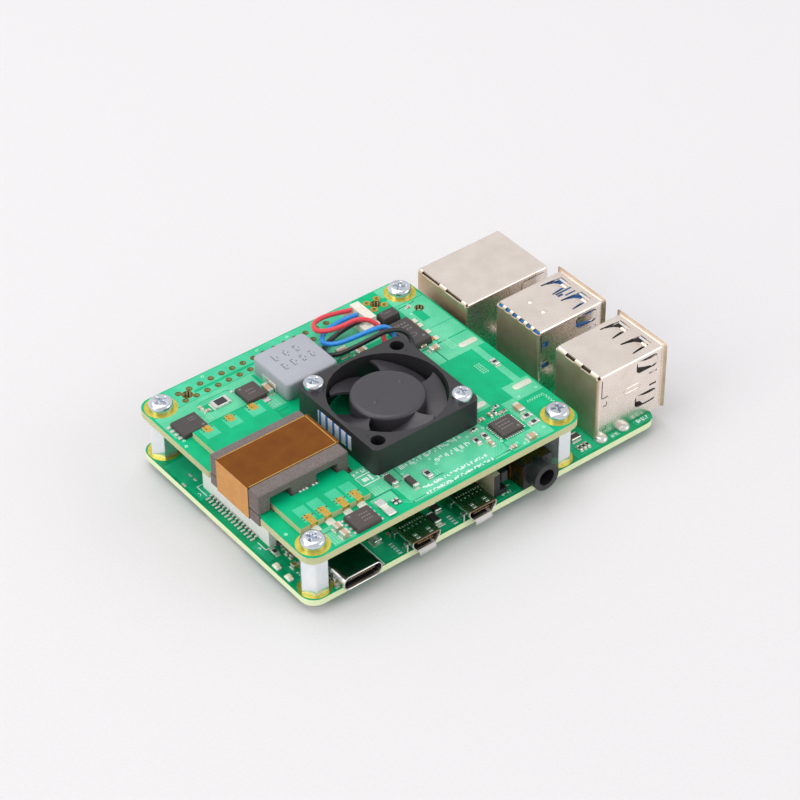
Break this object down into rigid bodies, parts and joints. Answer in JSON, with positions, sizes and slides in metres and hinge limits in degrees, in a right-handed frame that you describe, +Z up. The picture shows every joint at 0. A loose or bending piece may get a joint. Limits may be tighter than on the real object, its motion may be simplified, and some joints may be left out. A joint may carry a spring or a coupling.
{
  "type": "single board computer",
  "caption": "Single board computer carrying a network power board with fan, transformer and leads on hex standoffs, with network, serial, video, audio and power ports.",
  "frame": {"origin": "middle of the bounding box's footprint, on the plane under the four lowest screw heads", "axes": "+X along the board towards the stacked ports and the network port, +Y towards the pin header, +Z up from the main board to the fan"},
  "size_m": [0.0882, 0.0588, 0.0216],
  "materials": {
    "main_board": "solder mask over woven glass board, satin gloss",
    "power_board": "solder mask over woven glass board, satin gloss",
    "nickel_shell": "warm nickel-plated sheet steel, polished",
    "blue_plastic": "moulded plastic, satin",
    "black_plastic": "moulded glass-filled plastic, satin",
    "white_plastic": "moulded plastic, satin",
    "beige_plastic": "moulded plastic, satin",
    "steel_lid": "nickel-plated lid, satin",
    "chip": "moulded epoxy, fine matte",
    "zinc": "bright zinc plate",
    "ferrite": "sintered ferrite, ground, matte",
    "tape": "amber polyimide film, glossy",
    "inductor": "pressed powder composite, painted grey",
    "fan_plastic": "moulded glass-filled plastic, satin",
    "copper": "enamelled copper winding",
    "label": "printed film label",
    "lead_red": "wire insulation, satin",
    "lead_blue": "wire insulation, satin",
    "lead_black": "wire insulation, satin"
  },
  "bodies": {
    "computer": {"main_board": "main_board", "power_board": "power_board", "winding_board": "power_board", "usb_fast_shell": "nickel_shell", "usb_plain_shell": "nickel_shell", "ethernet_shell": "nickel_shell", "power_port_shell": "nickel_shell", "video_port_1_shell": "nickel_shell", "video_port_2_shell": "nickel_shell", "card_slot": "nickel_shell", "usb_fast_insert": "blue_plastic", "usb_plain_insert": "black_plastic", "ethernet_insert": "black_plastic", "power_port_tongue": "black_plastic", "video_port_1_tongue": "black_plastic", "video_port_2_tongue": "black_plastic", "audio_jack": "black_plastic", "pin_header": "black_plastic", "pin_socket": "black_plastic", "power_header": "black_plastic", "power_socket": "black_plastic", "display_connector": "white_plastic", "fan_plug": "white_plastic", "fan_header": "white_plastic", "camera_connector": "beige_plastic", "processor": "steel_lid", "wireless_shield": "steel_lid", "memory_chip": "chip", "power_chip_1": "chip", "power_chip_2": "chip", "power_chip_3": "chip", "controller_chip": "chip", "rectifier": "chip", "standoff_1": "zinc", "standoff_2": "zinc", "standoff_3": "zinc", "standoff_4": "zinc", "top_screw_1": "zinc", "top_screw_2": "zinc", "top_screw_3": "zinc", "top_screw_4": "zinc", "bottom_screw_1": "zinc", "bottom_screw_2": "zinc", "bottom_screw_3": "zinc", "bottom_screw_4": "zinc", "fan_screw_1": "zinc", "fan_screw_2": "zinc", "core_upper": "ferrite", "core_lower": "ferrite", "core_tape": "tape", "inductor": "inductor", "fan_frame": "fan_plastic", "fan_stator": "copper", "fan_label": "label", "lead_red": "lead_red", "lead_blue": "lead_blue", "lead_black": "lead_black"},
    "fan_rotor": {"fan_rotor": "fan_plastic"},
    "display_latch": {"display_latch": "black_plastic"},
    "camera_latch": {"camera_latch": "black_plastic"}
  },
  "joints": [
    {"name": "fan_spin", "type": "hinge", "parent": "computer", "child": "fan_rotor", "pos_m": [-0.00804, -0.00363, 0.0168], "axis": [0, 0, 1], "continuous": true},
    {"name": "display_latch_lift", "type": "slide", "parent": "computer", "child": "display_latch", "axis": [0, 0, 1], "range_m": [0, 0.0012]},
    {"name": "camera_latch_lift", "type": "slide", "parent": "computer", "child": "camera_latch", "axis": [0, 0, 1], "range_m": [0, 0.0012]}
  ]
}
